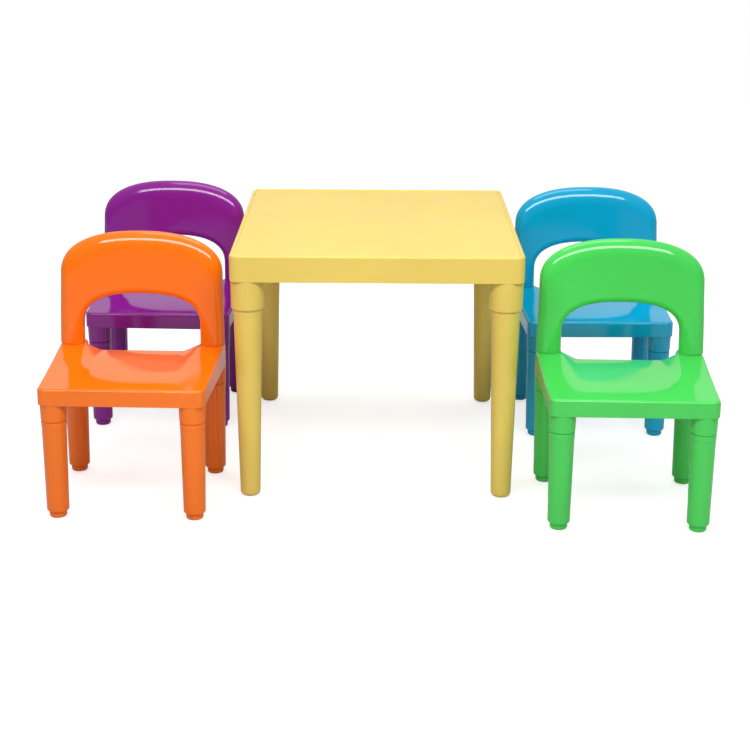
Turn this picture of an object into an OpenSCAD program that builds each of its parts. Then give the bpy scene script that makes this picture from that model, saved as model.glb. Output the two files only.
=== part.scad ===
// Kids table and four chairs in moulded plastic. The pieces push together without tools.
// Millimetres. +X is to the right, +Y to the rear and +Z up. The chairs face the front.
// The origin is on the floor, under the middle of the whole set.

/* [Table] */
// Width of the table, side to side
table_w = 510; // [480:2:560]
// Depth of the table, front to rear
table_d = 578; // [540:2:640]
// Height of the table
table_h = 448; // [400:2:520]
// Height of the apron round the table top
table_apron_h = 46; // [42:1:56]
// Corner radius of the table top, seen from above
table_corner_r = 16; // [10:1:24]
// Width of the raised rim round the flat top
rim_w = 8; // [5:0.5:12]
// Depth of the flat top below the rim
rim_h = 2; // [1:0.5:3]
// Outer radius of the leg sockets where they leave the apron
table_collar_r = 29.7; // [28:0.1:32]
// Length of the leg sockets below the apron
table_collar_h = 54; // [45:1:60]
// Radius of a table leg at its top
table_leg_top_r = 25.6; // [25:0.1:26.2]
// Radius of a table leg near the floor
table_leg_low_r = 17.6; // [16:0.1:20]

/* [Chair] */
// Width of the seat at its front edge
seat_front_w = 284; // [270:2:300]
// Width of the seat at its rear edge
seat_rear_w = 301; // [294:1:310]
// Depth of the seat, front to rear
seat_d = 262; // [250:2:280]
// Height of the seat at its front edge
seat_h = 238; // [215:1:255]
// Height of the apron round the seat
seat_apron_h = 30; // [28:1:34]
// Corner radius of the seat's front corners, seen from above
seat_corner_r = 14; // [8:1:18]
// Depth of the recess in the seat's rear edge, between the backrest posts
seat_recess = 32; // [28:0.5:34]
// Depth of the dish in the seat
dish_h = 4; // [1:0.5:4.5]
// How far the seat's rear corners stand above its front edge
ear_h = 12; // [8:0.5:14]
// Outer radius of the leg sockets under the seat
seat_collar_r = 22.8; // [22.4:0.1:23]
// Length of the leg sockets below the seat's apron
seat_collar_h = 32; // [28:1:36]
// Radius of a chair leg at its top
chair_leg_top_r = 21.7; // [21:0.1:21.8]
// Radius of a chair leg above its foot
chair_leg_low_r = 19.1; // [18:0.1:20]
// Radius of the narrower foot
foot_r = 14.9; // [13:0.1:16]
// Height of the narrower foot
foot_h = 11; // [8:0.5:14]

/* [Backrest] */
// Height of the chair, to the top of the backrest
chair_h = 456; // [430:2:480]
// Height of the top of the opening
opening_top_h = 343; // [320:1:350]
// Half width of the opening between the posts
opening_half_w = 105.5; // [104:0.5:107]
// Half width of the backrest at the shoulders
shoulder_half_w = 147; // [144:0.5:148]
// Thickness of the posts, front to rear
post_t = 32; // [28:0.5:34]
// Thickness of the crest, front to rear
crest_t = 25; // [22:0.5:28]
// How far the top leans to the rear
back_lean = 11; // [6:0.5:12]

/* [Joints] */
// Wall thickness of the shells
wall = 3; // [2.6:0.1:3.2]
// Radial clearance of the push fits
fit_gap = 0.05; // [0.02:0.01:0.1]
// Length of a table leg's spigot
table_spigot_l = 50; // [40:1:60]
// Length of a chair leg's spigot
chair_spigot_l = 30; // [22:1:31]
// Radius of the backrest's pegs
peg_r = 10; // [8:0.5:11]
// Length of the backrest's pegs
peg_l = 20; // [14:1:22]

/* [Placing] */
// Where the middle of the table stands, side to side
table_x = -2; // [-20:1:20]
// Where the middle of the table stands, front to rear
table_y = 39; // [0:1:60]
// Where the middle of the orange seat stands, side to side
orange_x = -431; // [-460:1:-425]
// Where the middle of the orange seat stands, front to rear
orange_y = -218; // [-240:1:-200]
// How far the orange chair is turned to the left, in degrees
orange_turn = -1.6; // [-3:0.1:3]
// Where the middle of the purple seat stands, side to side
purple_x = -431; // [-460:1:-425]
// Where the middle of the purple seat stands, front to rear
purple_y = 247; // [225:1:265]
// How far the purple chair is turned to the left, in degrees
purple_turn = -2; // [-3:0.1:3]
// Where the middle of the blue seat stands, side to side
blue_x = 433; // [425:1:460]
// Where the middle of the blue seat stands, front to rear
blue_y = 207; // [190:1:240]
// How far the blue chair is turned to the left, in degrees
blue_turn = 1; // [-3:0.1:3]
// Where the middle of the green seat stands, side to side
green_x = 433; // [425:1:460]
// Where the middle of the green seat stands, front to rear
green_y = -256; // [-270:1:-230]
// How far the green chair is turned to the left, in degrees
green_turn = -1.4; // [-3:0.1:3]

/* [Hidden] */
$fn = 96;
// Straight steps in a rounded corner
ARC_STEPS = 8;
// How far a cutting shape runs past the face it cuts
OVER = 1;
// How far a piece of one shell runs into the next, so that the two are one
BITE = 1;
// The sockets stand this far inside the faces of the apron
INSET = 0.3;

// The table
table_top_z = table_h - rim_h;
table_roof_z = table_top_z - wall;
table_apron_z = table_h - table_apron_h;
table_collar_z = table_apron_z - table_collar_h;
table_spigot_step = 1.6;
table_spigot_r = table_leg_top_r - table_spigot_step;
table_bore_r = table_spigot_r + fit_gap;
table_leg_x = table_w / 2 - table_collar_r - INSET;
table_leg_y = table_d / 2 - table_collar_r - INSET;
table_rib_t = 2.4;
table_rib_h = 6;
table_rib_pitch = 96;
table_foot_round = 8;

// The chair
seat_roof_z = seat_h - dish_h - wall;
seat_apron_z = seat_h - seat_apron_h;
seat_collar_z = seat_apron_z - seat_collar_h;
seat_spigot_step = 3;
seat_spigot_r = chair_leg_top_r - seat_spigot_step;
seat_bore_r = seat_spigot_r + fit_gap;
seat_bore_h = chair_spigot_l + 1;
front_leg_x = seat_front_w / 2 - seat_collar_r - INSET;
rear_leg_x = seat_rear_w / 2 - seat_collar_r - INSET;
seat_leg_y = seat_d / 2 - seat_collar_r - INSET;
collar_clear = 2;
ear_inner_x = seat_rear_w / 2 - 2 * seat_collar_r - collar_clear;
post_z = seat_h + ear_h;
// The raised sides: where they start across the seat, and where they are level
rail_inner_x = 94;
rail_slope_w = 10;
rail_level_y = 84;
ear_outer_r = 22;
ear_inner_r = 16;
recess_r = 10;
dish_r = 92;
dish_y = -seat_recess / 2;
dish_steps = 8;
seat_rib_t = 2.2;
seat_rib_h = 6;
seat_rib_pitch = 76;
foot_round = 3;

// The band under each collar, and the chamfer at each collar's end
band_h = 9;
band_step = 0.5;
collar_chamfer = 1.2;
collar_draft = 0.6;

// The backrest
back_y = 103;
back_edge_gap = 0.5;
back_base_half_w = seat_rear_w / 2 - back_edge_gap;
shoulder_z = 377;
opening_shoulder_z = 285;
outer_power = 2.36;
inner_power = 2.24;
section_power = 3;
section_points = 12;
post_steps = 4;
arch_steps = 10;
peg_x = (back_base_half_w + opening_half_w) / 2;

// Chairs: name, colour, place
CHAIRS = [
    ["orange", [0.96, 0.42, 0.05], [orange_x, orange_y, orange_turn]],
    ["purple", [0.50, 0.09, 0.50], [purple_x, purple_y, purple_turn]],
    ["blue", [0.05, 0.58, 0.80], [blue_x, blue_y, blue_turn]],
    ["green", [0.25, 0.75, 0.27], [green_x, green_y, green_turn]]
];
TABLE_COLOUR = [0.95, 0.84, 0.40];

// Corners: name, side, end
CORNERS = [
    ["front_left", -1, -1],
    ["front_right", 1, -1],
    ["rear_left", -1, 1],
    ["rear_right", 1, 1]
];

// Points of the arc of radius r that rounds corner b of the path a, b, c
function corner_arc(a, b, c, r) =
    let (
        to_a = (a - b) / norm(a - b),
        to_c = (c - b) / norm(c - b),
        half = acos(to_a * to_c) / 2,
        centre = b + (to_a + to_c) / norm(to_a + to_c) * r / sin(half),
        first = b + to_a * r / tan(half) - centre,
        last = b + to_c * r / tan(half) - centre,
        start = atan2(first.y, first.x),
        turn = (atan2(last.y, last.x) - start + 540) % 360 - 180
    )
    [for (i = [0:ARC_STEPS]) centre + r * [cos(start + turn * i / ARC_STEPS), sin(start + turn * i / ARC_STEPS)]];

// An outline with rounded corners, from a list of [x, y, radius]
function rounded(corners) =
    let (n = len(corners), p = [for (c = corners) [c.x, c.y]])
    [for (i = [0:n - 1]) each corner_arc(p[(i + n - 1) % n], p[i], p[(i + 1) % n], corners[i].z)];

// The table top's outline, drawn in by inset
function table_outline(inset) =
    let (x = table_w / 2 - inset, y = table_d / 2 - inset, r = table_corner_r - inset)
    rounded([[-x, -y, r], [x, -y, r], [x, y, r], [-x, y, r]]);

// The seat's outline, drawn in by inset: wider at the rear, with an ear under each post
function seat_outline(inset) =
    let (
        f = seat_front_w / 2 - inset,
        b = seat_rear_w / 2 - inset,
        y = seat_d / 2 - inset,
        e = ear_inner_x + inset,
        n = seat_d / 2 - seat_recess - inset
    )
    rounded([
        [-f, -y, seat_corner_r - inset], [f, -y, seat_corner_r - inset],
        [b, y, ear_outer_r - inset], [e, y, ear_inner_r - inset],
        [e, n, recess_r + inset], [-e, n, recess_r + inset],
        [-e, y, ear_inner_r - inset], [-b, y, ear_outer_r - inset]
    ]);

// A quarter round from the underside of a foot, at radius r - round_r, to its side
function foot_round_points(r, round_r) =
    [for (i = [0:ARC_STEPS])
        let (a = 90 * i / ARC_STEPS)
        [r - round_r + round_r * sin(a), round_r - round_r * cos(a)]];

// Places its children at each corner of a table or chair
module at_table_corner(corner) {
    translate([corner[1] * table_leg_x, corner[2] * table_leg_y, 0]) children();
}

module at_seat_corner(corner) {
    x = corner[2] < 0 ? front_leg_x : rear_leg_x;
    translate([corner[1] * x, corner[2] * seat_leg_y, 0]) children();
}

module place_table() {
    translate([table_x, table_y, 0]) children();
}

module place_chair(at) {
    translate([at.x, at.y, 0]) rotate([0, 0, at.z]) children();
}

// A socket: a tube from low_z to top_z, slightly narrower below neck_z, with a chamfered end
module collar(r, low_z, neck_z, top_z, bore_r) {
    low_r = r - collar_draft;
    rotate_extrude() polygon([
        [bore_r, low_z],
        [low_r - collar_chamfer, low_z],
        [low_r, low_z + collar_chamfer],
        [r, neck_z],
        [r, top_z],
        [bore_r, top_z]
    ]);
}

// Crossing ribs under a plate, from -n to n ribs each way
module ribs(span_x, span_y, count_x, count_y, pitch, t, h, top_z) {
    for (i = [-count_x:count_x])
        translate([i * pitch - t / 2, -span_y / 2, top_z - h]) cube([t, span_y, h + BITE]);
    for (i = [-count_y:count_y])
        translate([-span_x / 2, i * pitch - t / 2, top_z - h]) cube([span_x, t, h + BITE]);
}

module table_shell() {
    difference() {
        translate([0, 0, table_apron_z])
            linear_extrude(table_apron_h) polygon(table_outline(0));
        translate([0, 0, table_apron_z - OVER])
            linear_extrude(table_roof_z - table_apron_z + OVER) polygon(table_outline(wall));
        translate([0, 0, table_top_z])
            linear_extrude(rim_h + OVER) polygon(table_outline(rim_w));
    }
}

module table_top() {
    rib_span_x = table_w - 2 * wall + BITE;
    rib_span_y = table_d - 2 * wall + BITE;
    color(TABLE_COLOUR) difference() {
        union() {
            table_shell();
            ribs(rib_span_x, rib_span_y, 1, 2, table_rib_pitch, table_rib_t, table_rib_h, table_roof_z);
            for (corner = CORNERS) at_table_corner(corner)
                collar(table_collar_r, table_collar_z, table_apron_z, table_roof_z + BITE, 0);
        }
        for (corner = CORNERS) at_table_corner(corner)
            translate([0, 0, table_collar_z - OVER])
                cylinder(h = table_roof_z - table_collar_z + OVER, r = table_bore_r);
    }
}

module table_leg(corner) {
    hollow_r = table_spigot_r - wall;
    low_hollow_r = table_leg_low_r - wall;
    top_z = table_collar_z + table_spigot_l;
    color(TABLE_COLOUR) at_table_corner(corner) rotate_extrude() polygon([
        [0, 0],
        each foot_round_points(table_leg_low_r, table_foot_round),
        [table_leg_top_r - band_step, table_collar_z - band_h - band_step],
        [table_leg_top_r, table_collar_z - band_h],
        [table_leg_top_r, table_collar_z],
        [table_spigot_r, table_collar_z],
        [table_spigot_r, top_z],
        [hollow_r, top_z],
        [hollow_r, table_collar_z],
        [low_hollow_r, table_foot_round],
        [low_hollow_r - wall, wall],
        [0, wall]
    ]);
}

module seat_shell() {
    difference() {
        translate([0, 0, seat_apron_z])
            linear_extrude(seat_apron_h) polygon(seat_outline(0));
        translate([0, 0, seat_apron_z - OVER])
            linear_extrude(seat_roof_z - seat_apron_z + OVER) polygon(seat_outline(wall));
    }
}

// The dish: a shallow bowl whose rim lies in the seat's top face
module dish() {
    bowl = [for (i = [0:dish_steps])
        let (u = i / dish_steps)
        [dish_r * u, dish_h * (u * u - 1)]];
    translate([0, dish_y, seat_h])
        rotate_extrude() polygon([each bowl, [dish_r, OVER], [0, OVER]]);
}

// One raised side: it climbs from the front edge to the rear corner, and its inner face slopes
module seat_rail() {
    far_x = seat_rear_w / 2 + OVER;
    far_y = seat_d / 2 + OVER;
    bottom_z = seat_h - BITE;
    intersection() {
        translate([0, 0, bottom_z]) linear_extrude(ear_h + BITE) polygon(seat_outline(0));
        translate([0, far_y, 0]) rotate([90, 0, 0]) linear_extrude(2 * far_y) polygon([
            [rail_inner_x, bottom_z],
            [far_x, bottom_z],
            [far_x, post_z],
            [rail_inner_x + rail_slope_w, post_z],
            [rail_inner_x, seat_h]
        ]);
        rotate([90, 0, 90]) linear_extrude(far_x) polygon([
            [-far_y, bottom_z],
            [far_y, bottom_z],
            [far_y, post_z],
            [rail_level_y, post_z],
            [-far_y, seat_h]
        ]);
    }
}

module seat(tint) {
    rib_span_x = seat_front_w - 2 * wall + BITE;
    rib_span_y = seat_d - seat_recess - 2 * wall + BITE;
    color(tint) difference() {
        union() {
            seat_shell();
            translate([0, dish_y, 0])
                ribs(rib_span_x, rib_span_y, 1, 1, seat_rib_pitch, seat_rib_t, seat_rib_h, seat_roof_z);
            for (corner = CORNERS) at_seat_corner(corner)
                collar(seat_collar_r, seat_collar_z, seat_apron_z, seat_roof_z + BITE, 0);
            seat_rail();
            mirror([1, 0, 0]) seat_rail();
        }
        for (corner = CORNERS) at_seat_corner(corner)
            translate([0, 0, seat_collar_z - OVER]) cylinder(h = seat_bore_h + OVER, r = seat_bore_r);
        for (side = [-1, 1])
            translate([side * peg_x, back_y, post_z - peg_l - OVER])
                cylinder(h = peg_l + 2 * OVER, r = peg_r + fit_gap);
        dish();
    }
}

module chair_leg(tint, corner) {
    hollow_r = seat_spigot_r - wall;
    top_z = seat_collar_z + chair_spigot_l;
    shoulder_h = chair_leg_low_r - foot_r;
    color(tint) at_seat_corner(corner) rotate_extrude() polygon([
        [0, 0],
        each foot_round_points(foot_r, foot_round),
        [foot_r, foot_h - shoulder_h / 2],
        [chair_leg_low_r, foot_h + shoulder_h / 2],
        [chair_leg_top_r - band_step, seat_collar_z - band_h - band_step],
        [chair_leg_top_r, seat_collar_z - band_h],
        [chair_leg_top_r, seat_collar_z],
        [seat_spigot_r, seat_collar_z],
        [seat_spigot_r, top_z],
        [hollow_r, top_z],
        [hollow_r, foot_h + 2 * shoulder_h],
        [foot_r - wall, foot_h],
        [foot_r - wall, wall],
        [0, wall]
    ]);
}

// A signed power, for rounded-square curves
function spow(x, power) = sign(x) * pow(abs(x), 2 / power);

// Outer and inner edge of the backrest at step t: 0 at a post's foot, 1 at its shoulder, 2 at the top
function outer_edge(t) =
    t <= 1
    ? [back_base_half_w + (shoulder_half_w - back_base_half_w) * t, post_z + (shoulder_z - post_z) * t]
    : [shoulder_half_w * spow(cos(90 * (t - 1)), outer_power),
       shoulder_z + (chair_h - shoulder_z) * spow(sin(90 * (t - 1)), outer_power)];

function inner_edge(t) =
    t <= 1
    ? [opening_half_w, post_z + (opening_shoulder_z - post_z) * t]
    : [opening_half_w * spow(cos(90 * (t - 1)), inner_power),
       opening_shoulder_z + (opening_top_h - opening_shoulder_z) * spow(sin(90 * (t - 1)), inner_power)];

// One section of the backrest, drawn in by inset: a rounded oval from the inner to the outer edge
function back_section(t, side, inset) =
    let (
        o = outer_edge(t),
        i = inner_edge(t),
        middle = (o + i) / 2,
        reach = (o - i) / 2 * (1 - 2 * inset / norm(o - i))
    )
    [for (k = [0:section_points - 1])
        let (
            a = 360 * k / section_points,
            p = middle + reach * spow(cos(a), section_power),
            rise = (p.y - post_z) / (chair_h - post_z),
            half_t = (post_t + (crest_t - post_t) * rise) / 2 - inset
        )
        [side * p.x, back_y + back_lean * rise + half_t * spow(sin(a), section_power), p.y]];

// Steps along the arch, from the right post's foot at start to the top at 2
function back_steps(start) = [
    for (k = [0:post_steps - 1]) start + (1 - start) * k / post_steps,
    for (k = [0:arch_steps]) 1 + k / arch_steps
];

// The arch as one closed skin through its sections
module arch(inset) {
    // the hollow starts one wall above the posts' feet
    steps = back_steps(inset / (opening_shoulder_z - post_z));
    last = len(steps) - 1;
    sections = [
        for (k = [0:last]) back_section(steps[k], 1, inset),
        for (k = [1:last]) back_section(steps[last - k], -1, inset)
    ];
    rows = len(sections);
    n = section_points;
    polyhedron(
        points = [for (s = sections) each s],
        faces = [
            [for (k = [0:n - 1]) k],
            for (r = [0:rows - 2], k = [0:n - 1])
                each [
                    [r * n + k, (r + 1) * n + k, (r + 1) * n + (k + 1) % n],
                    [r * n + k, (r + 1) * n + (k + 1) % n, r * n + (k + 1) % n]
                ],
            [for (k = [0:n - 1]) rows * n - 1 - k]
        ]
    );
}

module backrest(tint) {
    color(tint) union() {
        difference() {
            arch(0);
            arch(wall);
        }
        for (side = [-1, 1])
            translate([side * peg_x, back_y, post_z - peg_l]) cylinder(h = peg_l + BITE, r = peg_r);
    }
}

place_table() table_top();
for (corner = CORNERS) {
    place_table() table_leg(corner);
}
for (chair = CHAIRS) {
    place_chair(chair[2]) seat(chair[1]);
    place_chair(chair[2]) backrest(chair[1]);
    for (corner = CORNERS) {
        place_chair(chair[2]) chair_leg(chair[1], corner);
    }
}
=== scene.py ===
"""Kids table and four chairs: the looks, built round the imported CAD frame."""

import bmesh
import bpy
import math
from mathutils import Matrix, Vector
from mathutils.geometry import delaunay_2d_cdt


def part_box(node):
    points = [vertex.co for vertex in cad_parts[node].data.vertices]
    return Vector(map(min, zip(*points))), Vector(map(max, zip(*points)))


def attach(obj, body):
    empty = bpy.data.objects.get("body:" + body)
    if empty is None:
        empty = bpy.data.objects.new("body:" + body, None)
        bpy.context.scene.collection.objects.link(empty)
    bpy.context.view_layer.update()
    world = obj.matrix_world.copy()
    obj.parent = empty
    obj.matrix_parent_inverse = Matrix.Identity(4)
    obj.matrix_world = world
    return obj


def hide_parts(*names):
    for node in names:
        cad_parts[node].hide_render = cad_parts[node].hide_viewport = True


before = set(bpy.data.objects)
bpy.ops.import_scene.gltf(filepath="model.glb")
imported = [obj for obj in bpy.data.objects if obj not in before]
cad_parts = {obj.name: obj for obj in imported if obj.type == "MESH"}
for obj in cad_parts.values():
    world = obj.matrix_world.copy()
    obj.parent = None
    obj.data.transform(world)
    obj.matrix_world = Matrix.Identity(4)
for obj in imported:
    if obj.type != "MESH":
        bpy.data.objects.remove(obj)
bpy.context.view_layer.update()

# Meshes are drawn in millimetres about their own table or chair, and placed in metres.
MM = 0.001

# Chair sizes, in millimetres
SEAT_FRONT_W, SEAT_REAR_W, SEAT_D, SEAT_H = 284, 301, 262, 238
SEAT_APRON_H, SEAT_RECESS = 30, 32
SEAT_CORNER_R, EAR_OUTER_R, EAR_INNER_R, RECESS_R = 14, 22, 16, 10
EAR_CLEAR = 2
SEAT_COLLAR_R, SEAT_COLLAR_H, SEAT_SPIGOT_L = 22.8, 32, 30
CHAIR_LEG_TOP_R, CHAIR_LEG_LOW_R, FOOT_R, FOOT_H = 21.7, 19.1, 14.9, 11
CHAIR_SPIGOT_STEP = 3
SEAT_RIB_PITCH, SEAT_RIB_T, SEAT_RIB_BITE = 76, 2.2, 0.5

# The seat's raised sides: their height at the rear, where they start across the seat, how
# wide their slope is, where they are level, and how late they climb
EAR_H, RAIL_INNER_X, RAIL_SLOPE_W, RAIL_LEVEL_Y, RAIL_POWER = 12, 72, 34, 84, 1.6

# The seat's low crown: its height, the lines where it starts to fall, and the lengths it
# falls over, to the front, to the rear and to the sides
CROWN_H = 4.2
CROWN_FRONT_Y, CROWN_FRONT_L = -38, 86
CROWN_REAR_Y, CROWN_REAR_L = 30, 69
CROWN_SIDE_X, CROWN_SIDE_L = 62, 62

# The seat's edge: its round, the ring where the net of the top starts, and how far below
# the top the edge follows the top's rise
SEAT_EDGE_ROUND, SEAT_NET_INSET, SEAT_NET_SPACING, SEAT_LIFT_H = 5, 7, 5, 6

# Backrest sizes, in millimetres
BACK_Y, BACK_LEAN, BACK_EDGE_GAP, POST_T, CREST_T = 103, 11, 0.5, 32, 25
CHAIR_H, SHOULDER_Z, SHOULDER_W, OUTER_POWER = 456, 377, 147, 2.36
OPENING_W, OPENING_TOP, OPENING_SHOULDER, OPENING_POWER = 105.5, 343, 285, 2.5
POST_Z = SEAT_H + EAR_H
BACK_BASE_W = SEAT_REAR_W / 2 - BACK_EDGE_GAP
PEG_R, PEG_L, PEG_ROOT_L = 10, 20, 3
PEG_X = (BACK_BASE_W + OPENING_W) / 2

# The crest: how wide its rolled edges are, where along the arch they form, and the depth of
# the crease inside its outer edge, as a share of half its thickness
CREST_OUTER_ROLL, CREST_INNER_ROLL = 34, 14
CREST_START, CREST_LENGTH, CREST_CREASE = 0.35, 0.9, 0.5

# Table sizes, in millimetres
TABLE_CORNER_R, RIM_W, RIM_H, TABLE_APRON_H = 16, 8, 2, 47
TABLE_COLLAR_R, TABLE_SPIGOT_L, TABLE_SPIGOT_STEP = 29.7, 50, 1.6
TABLE_LEG_TOP_R, TABLE_LEG_LOW_R, TABLE_FOOT_ROUND = 25.6, 17.6, 8
TABLE_RIB_PITCH, TABLE_RIB_T, TABLE_RIB_BITE = 96, 2.4, 1
TABLE_EDGE_ROUND, RIM_ROUND, RIM_SLOPE_W = 4.2, 1.6, 1.2

# Sizes that the table and the chairs share, in millimetres
WALL = 3
RIB_H = 6
APRON_ROUND = 0.8
FIT_GAP = 0.05
BAND_H, BAND_STEP, BAND_SLOPE_H, BAND_ROUND = 9, 0.5, 1.5, 0.6
COLLAR_DRAFT, COLLAR_CHAMFER_W, COLLAR_CHAMFER_H = 0.6, 1.6, 2.4
# How far a cutting or joining shape runs past the face it meets
OVER = 1

CORNERS = ("front_left", "front_right", "rear_left", "rear_right")
CHAIRS = ("orange", "purple", "blue", "green")

# Base colours, linear
COLOURS = {
    "yellow": (0.83, 0.61, 0.12),
    "orange": (0.98, 0.185, 0.003),
    "purple": (0.245, 0.010, 0.270),
    "blue": (0.001, 0.375, 0.640),
    "green": (0.068, 0.650, 0.100),
}


# ---------------------------------------------------------------- outlines

def corner_arc(a, b, c, r, steps):
    """Points of the arc of radius r that rounds corner b of the path a, b, c."""
    a, b, c = Vector(a), Vector(b), Vector(c)
    to_a, to_c = (a - b).normalized(), (c - b).normalized()
    half = to_a.angle(to_c) / 2
    centre = b + (to_a + to_c).normalized() * r / math.sin(half)
    first = b + to_a * r / math.tan(half) - centre
    last = b + to_c * r / math.tan(half) - centre
    turn = math.atan2(last.y, last.x) - math.atan2(first.y, first.x)
    turn = (turn + 3 * math.pi) % (2 * math.pi) - math.pi
    return [tuple(centre + Matrix.Rotation(turn * i / steps, 2) @ first) for i in range(steps + 1)]


def straight(a, b, n):
    """Points strictly between a and b, which they divide into n lengths."""
    a, b = Vector(a), Vector(b)
    return [tuple(a.lerp(b, i / n)) for i in range(1, n)]


def rounded_outline(corners, side_steps, steps=10):
    """A closed outline from [(x, y, radius)], with each straight side divided into its side_steps."""
    n = len(corners)
    arcs = [
        corner_arc(corners[i - 1][:2], corners[i][:2], corners[(i + 1) % n][:2], corners[i][2], steps)
        for i in range(n)
    ]
    points = []
    for i, arc in enumerate(arcs):
        points += arc + straight(arc[-1], arcs[(i + 1) % n][0], side_steps[i])
    return points


def fillet_path(path, steps=6):
    """An open path from [(x, y, radius)]; its first and last points stay sharp."""
    points = [path[0][:2]]
    for before, corner, after in zip(path, path[1:], path[2:]):
        if corner[2] > 0:
            points += corner_arc(before[:2], corner[:2], after[:2], corner[2], steps)
        else:
            points.append(corner[:2])
    return points + [path[-1][:2]]


# ---------------------------------------------------------------- meshes

def new_object(name, bm):
    """Turns a bmesh into an object, and frees it."""
    mesh = bpy.data.meshes.new(name)
    bmesh.ops.recalc_face_normals(bm, faces=bm.faces)
    bm.to_mesh(mesh)
    bm.free()
    obj = bpy.data.objects.new(name, mesh)
    bpy.context.scene.collection.objects.link(obj)
    return obj


def bridge(bm, lower, upper):
    """Joins two closed rings of vertices with quads."""
    n = len(lower)
    for i in range(n):
        bm.faces.new((lower[i], lower[(i + 1) % n], upper[(i + 1) % n], upper[i]))


def add_rings(bm, rings):
    """Joins closed rings of equal length, and returns their vertices."""
    rows = [[bm.verts.new(p) for p in ring] for ring in rings]
    for lower, upper in zip(rows, rows[1:]):
        bridge(bm, lower, upper)
    return rows


def add_lathe(bm, path, at=(0, 0), segments=72):
    """A solid of revolution: path runs from the axis out and back to the axis."""
    def ring(r, z):
        angles = [2 * math.pi * k / segments for k in range(segments)]
        return [(at[0] + r * math.cos(a), at[1] + r * math.sin(a), z) for a in angles]
    rows = add_rings(bm, [ring(r, z) for r, z in path[1:-1]])
    for (r, z), row in ((path[0], rows[0]), (path[-1], rows[-1])):
        tip = bm.verts.new((at[0], at[1], z))
        for k in range(segments):
            bm.faces.new((row[k], row[(k + 1) % segments], tip))


def add_box(bm, low, high):
    """A box between two corners."""
    size = Vector(high) - Vector(low)
    middle = (Vector(low) + Vector(high)) / 2
    matrix = Matrix.Translation(middle) @ Matrix.Diagonal((*size, 1))
    bmesh.ops.create_cube(bm, size=1, matrix=matrix)


def boolean(obj, tool, operation):
    """Applies a boolean with tool, and removes tool."""
    modifier = obj.modifiers.new("cut", "BOOLEAN")
    modifier.operation = operation
    modifier.object = tool
    modifier.solver = "MANIFOLD"
    graph = bpy.context.evaluated_depsgraph_get()
    result = bpy.data.meshes.new_from_object(obj.evaluated_get(graph))
    obj.modifiers.clear()
    obj.data = result
    bpy.data.objects.remove(tool)
    return obj


def join_boxes(shell, boxes):
    """Joins boxes, each given by its two corners, to a shell."""
    bm = bmesh.new()
    for low, high in boxes:
        add_box(bm, low, high)
    boolean(shell, new_object("boxes", bm), "UNION")


def finish_piece(obj, matrix, body, node, material, crease_deg=32):
    """Places a piece, shades it, and puts it on its body in its node's place."""
    obj.data.transform(matrix @ Matrix.Scale(MM, 4))
    obj.data.materials.clear()
    obj.data.materials.append(material)
    obj.data.shade_smooth()
    obj.data.set_sharp_from_angle(angle=math.radians(crease_deg))
    weights = obj.modifiers.new("normals", "WEIGHTED_NORMAL")
    weights.keep_sharp = True
    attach(obj, body)
    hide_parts(node)


def cap_with_grid(bm, boundary, height, spacing):
    """Fills a closed ring of vertices with a fine triangle net whose height is height(x, y)."""
    edge = [Vector(v.co.xy) for v in boundary]
    xs, ys = [p.x for p in edge], [p.y for p in edge]
    inner = []
    for j in range(int((max(ys) - min(ys)) / spacing) + 1):
        for i in range(int((max(xs) - min(xs)) / spacing) + 1):
            shift = 0.5 * (j % 2)
            p = Vector((min(xs) + (i + shift) * spacing, min(ys) + (j + 0.5) * spacing))
            if inside(p, edge) and min((p - q).length for q in edge) > 0.6 * spacing:
                inner.append(p)
    n = len(edge)
    loops = [(i, (i + 1) % n) for i in range(n)]
    points, _, faces, origins, _, _ = delaunay_2d_cdt(edge + inner, loops, [], 1, 1e-5)
    verts = []
    for point, origin in zip(points, origins):
        on_edge = [k for k in origin if k < n]
        if on_edge:
            verts.append(boundary[on_edge[0]])
        else:
            verts.append(bm.verts.new((point.x, point.y, height(point.x, point.y))))
    for face in faces:
        bm.faces.new([verts[k] for k in face])


def inside(p, polygon):
    """True where p is inside a closed polygon."""
    hit = False
    for a, b in zip(polygon, polygon[1:] + polygon[:1]):
        if (a.y > p.y) != (b.y > p.y) and p.x < a.x + (p.y - a.y) * (b.x - a.x) / (b.y - a.y):
            hit = not hit
    return hit


# ---------------------------------------------------------------- pieces

def add_collar(bm, at, r, low_z, neck_z, top_z):
    """A solid leg socket, slightly narrower below neck_z, with a chamfered end."""
    low_r = r - COLLAR_DRAFT
    add_lathe(bm, fillet_path([
        (0, low_z, 0), (low_r - COLLAR_CHAMFER_W, low_z, 0.4),
        (low_r, low_z + COLLAR_CHAMFER_H, 1.5), (r, neck_z, 0), (r, top_z, 0), (0, top_z, 0),
    ]), at)


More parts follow.
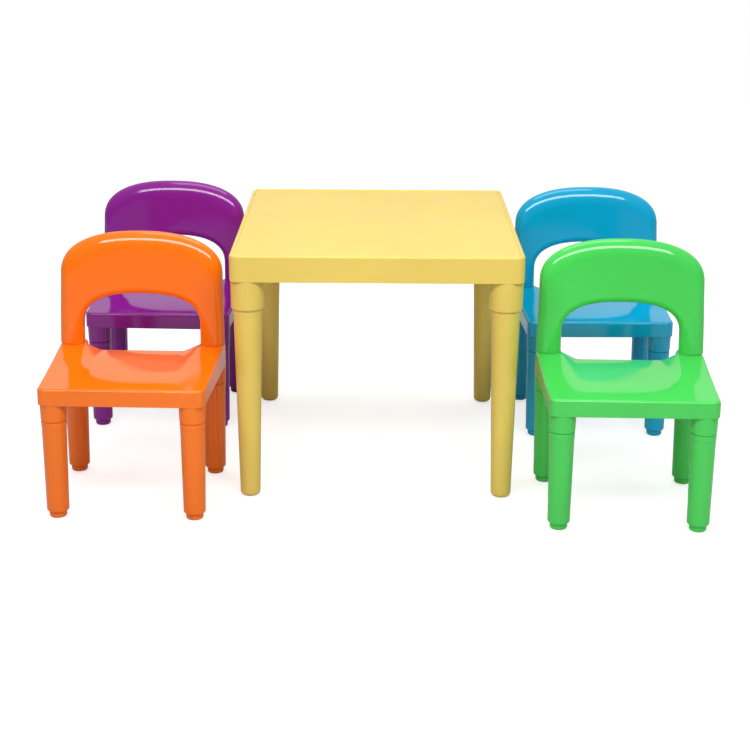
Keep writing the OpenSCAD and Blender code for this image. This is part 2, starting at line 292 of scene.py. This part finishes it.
def make_table_top(name, w, d, h, collar_z, legs):
    """The moulded top: rim, flat top, apron, ribs and leg sockets."""
    def outline(inset):
        x, y, r = w / 2 - inset, d / 2 - inset, TABLE_CORNER_R - inset
        return rounded_outline([(-x, -y, r), (x, -y, r), (x, y, r), (-x, y, r)], (24, 28, 24, 28))

    apron_z = h - TABLE_APRON_H
    flat_z = h - RIM_H
    roof_z = flat_z - WALL
    # inset and height, from the hollow's roof round the apron to the flat top
    profile = fillet_path([
        (WALL + 6, roof_z, 0), (WALL, roof_z, 2), (WALL, apron_z, APRON_ROUND),
        (0, apron_z, APRON_ROUND), (0, h, TABLE_EDGE_ROUND), (RIM_W - RIM_SLOPE_W, h, RIM_ROUND),
        (RIM_W, flat_z, 1.2), (RIM_W + 6, flat_z, 0),
    ], steps=8)
    bm = bmesh.new()
    rows = add_rings(bm, [[(x, y, z) for x, y in outline(inset)] for inset, z in profile])
    bm.faces.new(rows[0])
    bm.faces.new(rows[-1])
    shell = new_object(name, bm)

    half_t = TABLE_RIB_T / 2
    half_x, half_y = w / 2 - WALL + TABLE_RIB_BITE, d / 2 - WALL + TABLE_RIB_BITE
    low_z, high_z = roof_z - RIB_H, roof_z + TABLE_RIB_BITE
    join_boxes(shell, [
        ((x - half_t, -half_y, low_z), (x + half_t, half_y, high_z))
        for x in (-TABLE_RIB_PITCH, 0, TABLE_RIB_PITCH)
    ])
    for j in (-2, -1, 0, 1, 2):
        y = j * TABLE_RIB_PITCH
        join_boxes(shell, [((-half_x, y - half_t, low_z), (half_x, y + half_t, high_z))])
    bore_r = TABLE_LEG_TOP_R - TABLE_SPIGOT_STEP + FIT_GAP
    add_sockets(shell, legs, TABLE_COLLAR_R, collar_z, apron_z, roof_z, bore_r, roof_z)
    return shell


def add_sockets(shell, legs, r, low_z, neck_z, roof_z, bore_r, bore_top):
    """Adds a leg socket with a bore at each place in legs."""
    bm = bmesh.new()
    for at in legs:
        add_collar(bm, at, r, low_z, neck_z, roof_z + OVER)
    boolean(shell, new_object("collars", bm), "UNION")
    cut_holes(shell, legs, bore_r, low_z - OVER, bore_top)


def cut_holes(shell, places, r, low_z, high_z):
    """Cuts an upright round hole at each place."""
    bm = bmesh.new()
    for at in places:
        add_lathe(bm, [(0, low_z), (r, low_z), (r, high_z), (0, high_z)], at)
    boolean(shell, new_object("holes", bm), "DIFFERENCE")


def make_leg(name, path):
    """A hollow leg, turned from its path."""
    bm = bmesh.new()
    add_lathe(bm, fillet_path(path))
    return new_object(name, bm)


def spigot_path(leg_r, spigot_r, collar_z, length):
    """The upper end of a leg: the band under its socket, its shoulder, its spigot and the mouth."""
    top_z = collar_z + length
    return [
        (leg_r - BAND_STEP, collar_z - BAND_H - BAND_SLOPE_H, BAND_ROUND),
        (leg_r, collar_z - BAND_H, BAND_ROUND), (leg_r, collar_z - 0.6, 1),
        (spigot_r, collar_z, 0.3), (spigot_r, top_z, 1), (spigot_r - WALL, top_z, 0.5),
    ]


def table_leg_path(collar_z):
    """Outside and inside of a table leg, from the middle of its foot, as (radius, z, fillet)."""
    spigot_r = TABLE_LEG_TOP_R - TABLE_SPIGOT_STEP
    low = TABLE_LEG_LOW_R
    return [
        (0, 0, 0), (low, 0, TABLE_FOOT_ROUND),
        *spigot_path(TABLE_LEG_TOP_R, spigot_r, collar_z, TABLE_SPIGOT_L),
        (spigot_r - WALL, collar_z, 1), (low - WALL, TABLE_FOOT_ROUND, 2),
        (low - 2 * WALL, WALL, 1), (0, WALL, 0),
    ]


def chair_leg_path(collar_z):
    """Outside and inside of a chair leg with its narrower foot, as (radius, z, fillet)."""
    spigot_r = CHAIR_LEG_TOP_R - CHAIR_SPIGOT_STEP
    shoulder = CHAIR_LEG_LOW_R - FOOT_R
    return [
        (0, 0, 0), (FOOT_R, 0, 3.5), (FOOT_R, FOOT_H - shoulder / 2, 1.2),
        (CHAIR_LEG_LOW_R, FOOT_H + shoulder / 2, 2.4),
        *spigot_path(CHAIR_LEG_TOP_R, spigot_r, collar_z, SEAT_SPIGOT_L),
        (spigot_r - WALL, FOOT_H + 2 * shoulder, 2),
        (FOOT_R - WALL, FOOT_H, 1), (FOOT_R - WALL, WALL, 1), (0, WALL, 0),
    ]


def seat_outline(inset):
    """The seat seen from above, drawn in by inset: wider at the rear, with an ear under each post."""
    f, b, y = SEAT_FRONT_W / 2 - inset, SEAT_REAR_W / 2 - inset, SEAT_D / 2 - inset
    e = SEAT_REAR_W / 2 - 2 * SEAT_COLLAR_R - EAR_CLEAR + inset
    n = SEAT_D / 2 - SEAT_RECESS - inset
    return rounded_outline([
        (-f, -y, SEAT_CORNER_R - inset), (f, -y, SEAT_CORNER_R - inset),
        (b, y, EAR_OUTER_R - inset), (e, y, EAR_INNER_R - inset),
        (e, n, RECESS_R + inset), (-e, n, RECESS_R + inset),
        (-e, y, EAR_INNER_R - inset), (-b, y, EAR_OUTER_R - inset),
    ], (28, 26, 3, 2, 22, 2, 3, 26), steps=12)


def smooth(t):
    """0 below 0, 1 above 1, and a soft step between."""
    t = min(1, max(0, t))
    return t * t * (3 - 2 * t)


def seat_rise(x, y):
    """Height of the seat's top above SEAT_H: sides that climb to the rear, and a low crown."""
    climb = min(1, max(0, (y + SEAT_D / 2) / (SEAT_D / 2 + RAIL_LEVEL_Y)))
    rail = EAR_H * climb ** RAIL_POWER * smooth((abs(x) - RAIL_INNER_X) / RAIL_SLOPE_W)
    front = max(0, (CROWN_FRONT_Y - y) / CROWN_FRONT_L)
    rear = max(0, (y - CROWN_REAR_Y) / CROWN_REAR_L)
    crown = CROWN_H * max(0, 1 - front ** 2) * max(0, 1 - rear ** 2)
    return rail + crown * (1 - smooth((abs(x) - CROWN_SIDE_X) / CROWN_SIDE_L))


def make_seat(name, legs):
    """The moulded seat: crowned top with raised sides, rounded edge, apron, ribs and sockets."""
    apron_z = SEAT_H - SEAT_APRON_H
    roof_z = SEAT_H - 2 * WALL
    # inset and height, from the hollow's roof round the apron to the top's net
    profile = fillet_path([
        (WALL + 4, roof_z, 0), (WALL, roof_z, 1.5), (WALL, apron_z, APRON_ROUND),
        (0, apron_z, APRON_ROUND), (0, SEAT_H, SEAT_EDGE_ROUND), (SEAT_NET_INSET, SEAT_H, 0),
    ], steps=9)
    rings = []
    for inset, z in profile:
        lifted = z > SEAT_H - SEAT_LIFT_H
        outline = seat_outline(inset)
        rings.append([(x, y, z + (seat_rise(x, y) if lifted else 0)) for x, y in outline])
    bm = bmesh.new()
    rows = add_rings(bm, rings)
    bm.faces.new(rows[0])
    cap_with_grid(bm, rows[-1], lambda x, y: SEAT_H + seat_rise(x, y), SEAT_NET_SPACING)
    shell = new_object(name, bm)

    middle, half_t = -SEAT_RECESS / 2, SEAT_RIB_T / 2
    half_x = SEAT_FRONT_W / 2 - WALL + SEAT_RIB_BITE
    half_y = (SEAT_D - SEAT_RECESS) / 2 - WALL + SEAT_RIB_BITE
    low_z, high_z = roof_z - RIB_H, roof_z + SEAT_RIB_BITE
    for at in (-SEAT_RIB_PITCH, 0, SEAT_RIB_PITCH):
        y = middle + at
        join_boxes(shell, [
            ((at - half_t, middle - half_y, low_z), (at + half_t, middle + half_y, high_z))
        ])
        join_boxes(shell, [((-half_x, y - half_t, low_z), (half_x, y + half_t, high_z))])
    collar_z = apron_z - SEAT_COLLAR_H
    bore_r = CHAIR_LEG_TOP_R - CHAIR_SPIGOT_STEP + FIT_GAP
    bore_top = collar_z + SEAT_SPIGOT_L + OVER
    add_sockets(shell, legs, SEAT_COLLAR_R, collar_z, apron_z, roof_z, bore_r, bore_top)
    pegs = [(-PEG_X, BACK_Y), (PEG_X, BACK_Y)]
    cut_holes(shell, pegs, PEG_R + FIT_GAP, POST_Z - PEG_L - OVER, POST_Z + OVER)
    return shell


def power_curve(t, low, high, half_w, power):
    """A point on a rounded-square quarter curve, from (half_w, low) to (0, high)."""
    a = math.radians(90 * t)
    across, up = math.cos(a) ** (2 / power), math.sin(a) ** (2 / power)
    return Vector((half_w * across, low + (high - low) * up))


def back_edges(t):
    """Outer and inner edge of the backrest: t is 0 at a post's foot, 1 at its shoulder, 2 at the top."""
    if t <= 1:
        outer_w = BACK_BASE_W + (SHOULDER_W - BACK_BASE_W) * t
        outer = Vector((outer_w, POST_Z + (SHOULDER_Z - POST_Z) * t))
        inner = Vector((OPENING_W, POST_Z + (OPENING_SHOULDER - POST_Z) * t))
        return outer, inner
    u = min(t - 1, 1)
    return (
        power_curve(u, SHOULDER_Z, CHAIR_H, SHOULDER_W, OUTER_POWER),
        power_curve(u, OPENING_SHOULDER, OPENING_TOP, OPENING_W, OPENING_POWER),
    )


def quarter(reach, steps):
    """(distance past the flat, share of the half thickness) from the flat to the edge."""
    angles = [math.radians(90 * k / steps) for k in range(steps + 1)]
    return [(reach * math.sin(a), math.cos(a)) for a in angles]


def back_section(t, side, inset):
    """One closed section of the backrest, pillowed, with a soft crease inside its outer edge."""
    outer, inner = back_edges(t)
    middle, along = (outer + inner) / 2, (outer - inner).normalized()
    half = (outer - inner).length / 2 - inset
    crest = smooth((t - CREST_START) / CREST_LENGTH)
    outer_reach = half * (1 - crest) + min(half, CREST_OUTER_ROLL) * crest
    inner_reach = half * (1 - crest) + min(half, CREST_INNER_ROLL) * crest
    flat_out, flat_in = half - outer_reach, half - inner_reach
    crease = CREST_CREASE * crest
    loop = []
    for sign, order in ((-1, 1), (1, -1)):
        run = [(-flat_in - d, w) for d, w in reversed(quarter(inner_reach, 10))]
        run += [(-flat_in + (flat_out + flat_in) * k / 4, 1) for k in (1, 2, 3)]
        run += [(flat_out + d, w + sign * crease * (1 - w)) for d, w in quarter(outer_reach, 16)]
        run = run[::order]
        loop += [(u, sign * w) for u, w in run[:-1]]
    points = []
    for u, w in loop:
        p = middle + along * u
        rise = (p.y - POST_Z) / (CHAIR_H - POST_Z)
        half_t = (POST_T + (CREST_T - POST_T) * rise) / 2 - inset
        points.append((side * p.x, BACK_Y + BACK_LEAN * rise + half_t * w, p.y))
    return points


def make_backrest(name):
    """The arch with its opening, with a small round at each post's foot, and its pegs."""
    # steps along the arch, each with the inset of its section
    foot = [(0.003, 1.2), (0.006, 0.35), (0.013, 0)]
    post = [(0.04 + 0.96 * k / 20, 0) for k in range(20)]
    steps = foot + post + [(1 + k / 44, 0) for k in range(45)]
    half_one = [back_section(t, 1, inset) for t, inset in steps]
    half_two = [back_section(t, -1, inset) for t, inset in reversed(steps[:-1])]
    bm = bmesh.new()
    rows = add_rings(bm, half_one + half_two)
    bm.faces.new(rows[0])
    bm.faces.new(rows[-1])
    arch = new_object(name, bm)
    bm = bmesh.new()
    low_z, high_z = POST_Z - PEG_L, POST_Z + PEG_ROOT_L
    peg = fillet_path([(0, low_z, 0), (PEG_R, low_z, 1), (PEG_R, high_z, 0), (0, high_z, 0)])
    for side in (-1, 1):
        add_lathe(bm, peg, (side * PEG_X, BACK_Y))
    return boolean(arch, new_object("pegs", bm), "UNION")


# ---------------------------------------------------------------- materials

# Noise values are mapped from this span; pointiness above the wear span is a full edge
NOISE_SPAN, WEAR_SPAN = (0.3, 0.7), (0.52, 0.60)
# Noise scales of the colour flow and of the smudges, per metre, and the grain's depth in metres
FLOW_SCALE, SMUDGE_SCALE, GRAIN_DEPTH = 5, 14, 0.0002


def map_range(nodes, links, value, span, to_span, interpolation="LINEAR"):
    """Maps a value from one span to another, and returns the result's socket."""
    node = nodes.new("ShaderNodeMapRange")
    node.interpolation_type = interpolation
    for key, number in zip(("From Min", "From Max", "To Min", "To Max"), (*span, *to_span)):
        node.inputs[key].default_value = number
    links.new(value, node.inputs["Value"])
    return node.outputs["Result"]


def moulded_plastic(name, colour, roughness, grain, grain_size, wear):
    """Injection-moulded plastic: faint colour flow, a fine grain, and slightly paler worn edges."""
    material = bpy.data.materials.new(name)
    material.use_nodes = True
    nodes, links = material.node_tree.nodes, material.node_tree.links
    shader = nodes["Principled BSDF"]
    shader.inputs["IOR"].default_value = 1.5
    coords = nodes.new("ShaderNodeTexCoord")

    def noise(scale, detail):
        node = nodes.new("ShaderNodeTexNoise")
        node.inputs["Scale"].default_value = scale
        node.inputs["Detail"].default_value = detail
        links.new(coords.outputs["Object"], node.inputs["Vector"])
        return node.outputs["Fac"]

    def mapped(value, span, to_span):
        return map_range(nodes, links, value, span, to_span)

    darker = tuple(c * 0.95 for c in colour)
    lighter = tuple(min(1, c * 1.05) for c in colour)
    pale = tuple(min(1, c + 0.10 * (1 - c)) for c in colour)
    flow = mapped(noise(FLOW_SCALE, 3), NOISE_SPAN, (0, 1))
    body = colour_mix(nodes, links, flow, darker, lighter)
    geometry = nodes.new("ShaderNodeNewGeometry")
    edge = mapped(geometry.outputs["Pointiness"], WEAR_SPAN, (0, wear))
    links.new(colour_mix(nodes, links, edge, body, pale), shader.inputs["Base Color"])

    smudge = mapped(noise(SMUDGE_SCALE, 4), NOISE_SPAN, (roughness * 0.85, roughness * 1.2))
    links.new(smudge, shader.inputs["Roughness"])

    bump = nodes.new("ShaderNodeBump")
    bump.inputs["Strength"].default_value = grain
    bump.inputs["Distance"].default_value = GRAIN_DEPTH
    links.new(noise(1 / grain_size, 2), bump.inputs["Height"])
    links.new(bump.outputs["Normal"], shader.inputs["Normal"])
    return material


def colour_mix(nodes, links, factor, first, second):
    """Mixes two colours, each a tuple or a socket."""
    node = nodes.new("ShaderNodeMix")
    node.data_type = "RGBA"
    links.new(factor, node.inputs[0])
    for socket, value in ((node.inputs[6], first), (node.inputs[7], second)):
        if isinstance(value, tuple):
            socket.default_value = (*value, 1)
        else:
            links.new(value, socket)
    return node.outputs[2]


# ---------------------------------------------------------------- assembly

def leg_centres(prefix):
    """Floor point of each leg's axis, in metres, by corner name."""
    centres = {}
    for corner in CORNERS:
        low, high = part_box(f"{prefix}_{corner}")
        centres[corner] = (low + high) / 2
        centres[corner].z = 0
    return centres


def build_table():
    """The table, about the middle of its CAD box: satin plastic with a fine grain."""
    slot = "yellow_plastic"
    material = moulded_plastic(
        slot, COLOURS["yellow"], roughness=0.36, grain=0.25, grain_size=0.0012, wear=0.5)
    low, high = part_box("table_top")
    size = (high - low) / MM
    middle = (low + high) / 2
    origin = Matrix.Translation((middle.x, middle.y, 0))
    centres = leg_centres("table_leg")
    local = [((c.x - middle.x) / MM, (c.y - middle.y) / MM) for c in centres.values()]
    collar_z = low.z / MM
    top = make_table_top("table_top_shell", size.x, size.y, high.z / MM, collar_z, local)
    finish_piece(top, origin, "table", "table_top", material)
    for corner, centre in centres.items():
        node = f"table_leg_{corner}"
        leg = make_leg(f"{node}_tube", table_leg_path(collar_z))
        finish_piece(leg, Matrix.Translation(centre), "table", node, material)


def build_chair(colour):
    """One chair, placed and turned by its CAD legs: glossy plastic."""
    body, slot = f"{colour}_chair", f"{colour}_plastic"
    material = moulded_plastic(
        slot, COLOURS[colour], roughness=0.085, grain=0.05, grain_size=0.004, wear=0.5)
    centres = leg_centres(f"{colour}_leg")
    middle = sum(centres.values(), Vector()) / len(centres)
    across = (centres["rear_right"] - centres["rear_left"]).normalized()
    turn = Matrix.Rotation(math.atan2(across.y, across.x), 4, "Z")
    chair = Matrix.Translation(middle) @ turn
    to_local = chair.inverted()
    local = [tuple((to_local @ c).xy / MM) for c in centres.values()]
    seat = make_seat(f"{colour}_seat_shell", local)
    finish_piece(seat, chair, body, f"{colour}_seat", material)
    backrest = make_backrest(f"{colour}_backrest_arch")
    finish_piece(backrest, chair, body, f"{colour}_backrest", material)
    collar_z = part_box(f"{colour}_seat")[0].z / MM
    for corner, centre in centres.items():
        node = f"{colour}_leg_{corner}"
        leg = make_leg(f"{node}_tube", chair_leg_path(collar_z))
        finish_piece(leg, Matrix.Translation(centre), body, node, material)


# ---------------------------------------------------------------- studio

# The floor, in metres: its half width, and how far it lies below the feet
FLOOR_SIZE, FLOOR_DROP = 30, 0.0004
FLOOR_GREY, FLOOR_GLOW = 0.6, 0.62

# The camera, in metres, millimetres and radians
CAMERA_AT = (-0.0053, -2.8442, 1.0930)
CAMERA_LENS, CAMERA_SENSOR, CAMERA_SHIFT_Y = 75.1, 36, -0.1095
CAMERA_PITCH, CAMERA_ROLL = 0.2667, 0.0063


def make_floor():
    """A pale floor that shows white: its glow is for camera rays only, so it lights nothing."""
    bm = bmesh.new()
    bmesh.ops.create_grid(bm, x_segments=4, y_segments=4, size=FLOOR_SIZE)
    floor = new_object("floor", bm)
    floor.location.z = -FLOOR_DROP
    material = bpy.data.materials.new("floor_white")
    material.use_nodes = True
    shader = material.node_tree.nodes["Principled BSDF"]
    shader.inputs["Base Color"].default_value = (FLOOR_GREY, FLOOR_GREY, FLOOR_GREY, 1)
    shader.inputs["Roughness"].default_value = 0.8
    shader.inputs["Emission Color"].default_value = (1, 1, 1, 1)
    nodes, links = material.node_tree.nodes, material.node_tree.links
    seen = nodes.new("ShaderNodeLightPath")
    glow = nodes.new("ShaderNodeMath")
    glow.operation = "MULTIPLY"
    glow.inputs[1].default_value = FLOOR_GLOW
    links.new(seen.outputs["Is Camera Ray"], glow.inputs[0])
    links.new(glow.outputs["Value"], shader.inputs["Emission Strength"])
    floor.data.materials.append(material)


def softbox(name, at, target, size_x, size_y, power):
    """A white rectangular area light, in metres and watts, aimed at target."""
    light = bpy.data.lights.new(name, "AREA")
    light.shape = "RECTANGLE"
    light.size, light.size_y = size_x, size_y
    light.energy = power
    obj = bpy.data.objects.new(name, light)
    bpy.context.scene.collection.objects.link(obj)
    obj.location = at
    obj.rotation_euler = (Vector(target) - Vector(at)).to_track_quat("-Z", "Y").to_euler()


def make_world():
    """Soft white surroundings: brightest overhead and behind the set, dim in front."""
    world = bpy.data.worlds.new("studio")
    bpy.context.scene.world = world
    world.use_nodes = True
    nodes, links = world.node_tree.nodes, world.node_tree.links
    coords = nodes.new("ShaderNodeTexCoord")
    split = nodes.new("ShaderNodeSeparateXYZ")
    links.new(coords.outputs["Generated"], split.inputs["Vector"])

    total = nodes.new("ShaderNodeMath")
    total.operation = "ADD"
    # direction, the span of it over which the light grows, and the strength at either end
    for k, (axis, span, strength) in enumerate((
            ("Y", (-0.3, 0.8), (0.14, 0.64)), ("Z", (0.1, 1), (0, 0.42)))):
        grown = map_range(nodes, links, split.outputs[axis], span, strength, "SMOOTHSTEP")
        links.new(grown, total.inputs[k])
    nodes["Background"].inputs["Color"].default_value = (1, 1, 1, 1)
    links.new(total.outputs["Value"], nodes["Background"].inputs["Strength"])


def make_studio():
    """A wide, narrow key light high in front, a weak fill overhead, and the surroundings."""
    bpy.context.scene.view_settings.view_transform = "Standard"
    make_world()
    softbox("key_box", (0, -2.1, 2.35), (0, 0, 0.35), size_x=3.4, size_y=0.55, power=66)
    softbox("top_box", (0, 0.1, 2.6), (0, 0.1, 0.3), size_x=1.6, size_y=1.0, power=16)


def make_camera():
    """The photograph's viewpoint: a long lens, looking about 15 degrees down, shifted vertically."""
    data = bpy.data.cameras.new("camera")
    data.sensor_width = CAMERA_SENSOR
    data.lens = CAMERA_LENS
    data.shift_y = CAMERA_SHIFT_Y
    data.clip_end = 100
    camera = bpy.data.objects.new("camera", data)
    bpy.context.scene.collection.objects.link(camera)
    forward = Vector((0, math.cos(CAMERA_PITCH), -math.sin(CAMERA_PITCH)))
    right = Vector((1, 0, 0))
    up = right.cross(forward)
    tilt_right = right * math.cos(CAMERA_ROLL) + up * math.sin(CAMERA_ROLL)
    tilt_up = up * math.cos(CAMERA_ROLL) - right * math.sin(CAMERA_ROLL)
    turn = Matrix((tilt_right, tilt_up, -forward)).transposed().to_4x4()
    camera.matrix_world = Matrix.Translation(CAMERA_AT) @ turn
    bpy.context.scene.camera = camera


make_camera()
make_studio()
make_floor()
build_table()
for chair_colour in CHAIRS:
    build_chair(chair_colour)
